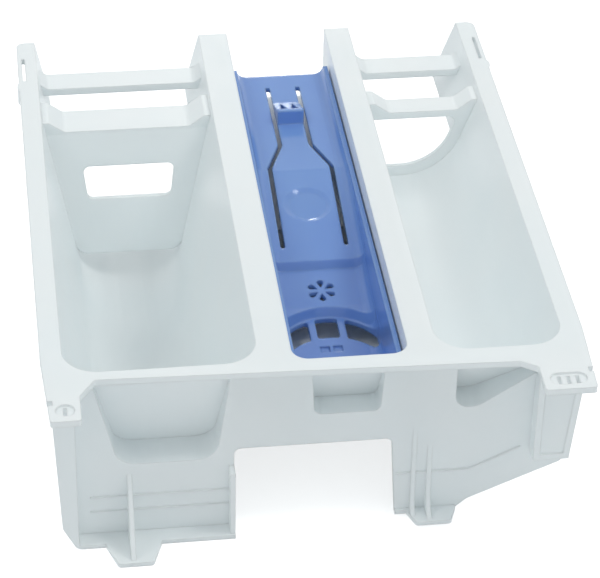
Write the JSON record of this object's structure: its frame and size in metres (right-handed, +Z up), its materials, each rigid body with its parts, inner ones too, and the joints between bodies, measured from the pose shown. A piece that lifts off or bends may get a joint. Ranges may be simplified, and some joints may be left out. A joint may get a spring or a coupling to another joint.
{
  "type": "detergent dispenser drawer",
  "caption": "Washing-machine detergent drawer tray with separate wash compartments, hanging rear panel, cross bars, latch tongues and a drop-in softener siphon insert.",
  "frame": {"origin": "middle of the drawer's footprint, on the plane it stands on", "axes": "+Y from the front flange to the rear ends of the rails, +Z up out of the compartments, +X towards the shallow compartment"},
  "size_m": [0.1916, 0.246, 0.072],
  "materials": {
    "white_plastic": "white injection-moulded polypropylene, satin",
    "blue_plastic": "blue injection-moulded polypropylene, semi-gloss"
  },
  "bodies": {
    "root": {"drawer_body": "white_plastic", "siphon_insert": "blue_plastic"}
  },
  "joints": []
}
